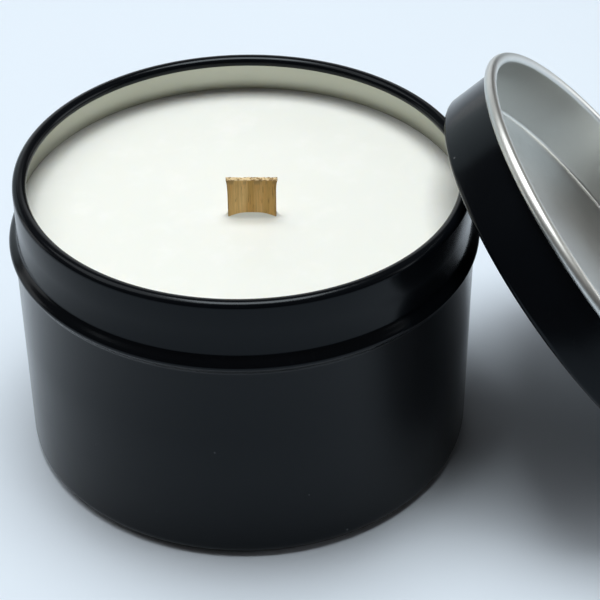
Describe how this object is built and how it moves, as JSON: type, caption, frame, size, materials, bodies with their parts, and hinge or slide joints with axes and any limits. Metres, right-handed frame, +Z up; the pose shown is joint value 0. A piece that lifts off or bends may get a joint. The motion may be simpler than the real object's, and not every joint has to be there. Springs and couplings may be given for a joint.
{
  "type": "candle tin",
  "caption": "Round black tin with a rolled rim, filled with pale wax and a flat wooden wick; its slip lid is off and leans on the tin's side.",
  "frame": {"origin": "middle of the tin's flat underside, on the tin's axis, at table height", "axes": "+Z up along the tin's axis; +X from the tin towards the lid that leans on it; +Y completes the right-handed set, away from the side the wick's flat face is seen from"},
  "size_m": [0.1377, 0.0875, 0.0688],
  "materials": {
    "black_lacquer": "satin black lacquer outside, bare tinplate inside",
    "soy_wax": "smooth, slightly translucent wax",
    "wick_wood": "planed veneer, unfinished",
    "bare_steel": "bare tinplate",
    "adhesive_foam": "matt double-sided foam tape"
  },
  "bodies": {
    "tin": {"tin_cup": "black_lacquer", "wax_fill": "soy_wax", "wood_wick": "wick_wood", "wick_clip": "bare_steel", "wick_sticker": "adhesive_foam"},
    "lid": {"lid": "black_lacquer"}
  },
  "joints": [
    {"name": "lid_lift", "type": "slide", "parent": "tin", "child": "lid", "axis": [0, 0, 1], "range_m": [0, 0.08]}
  ]
}
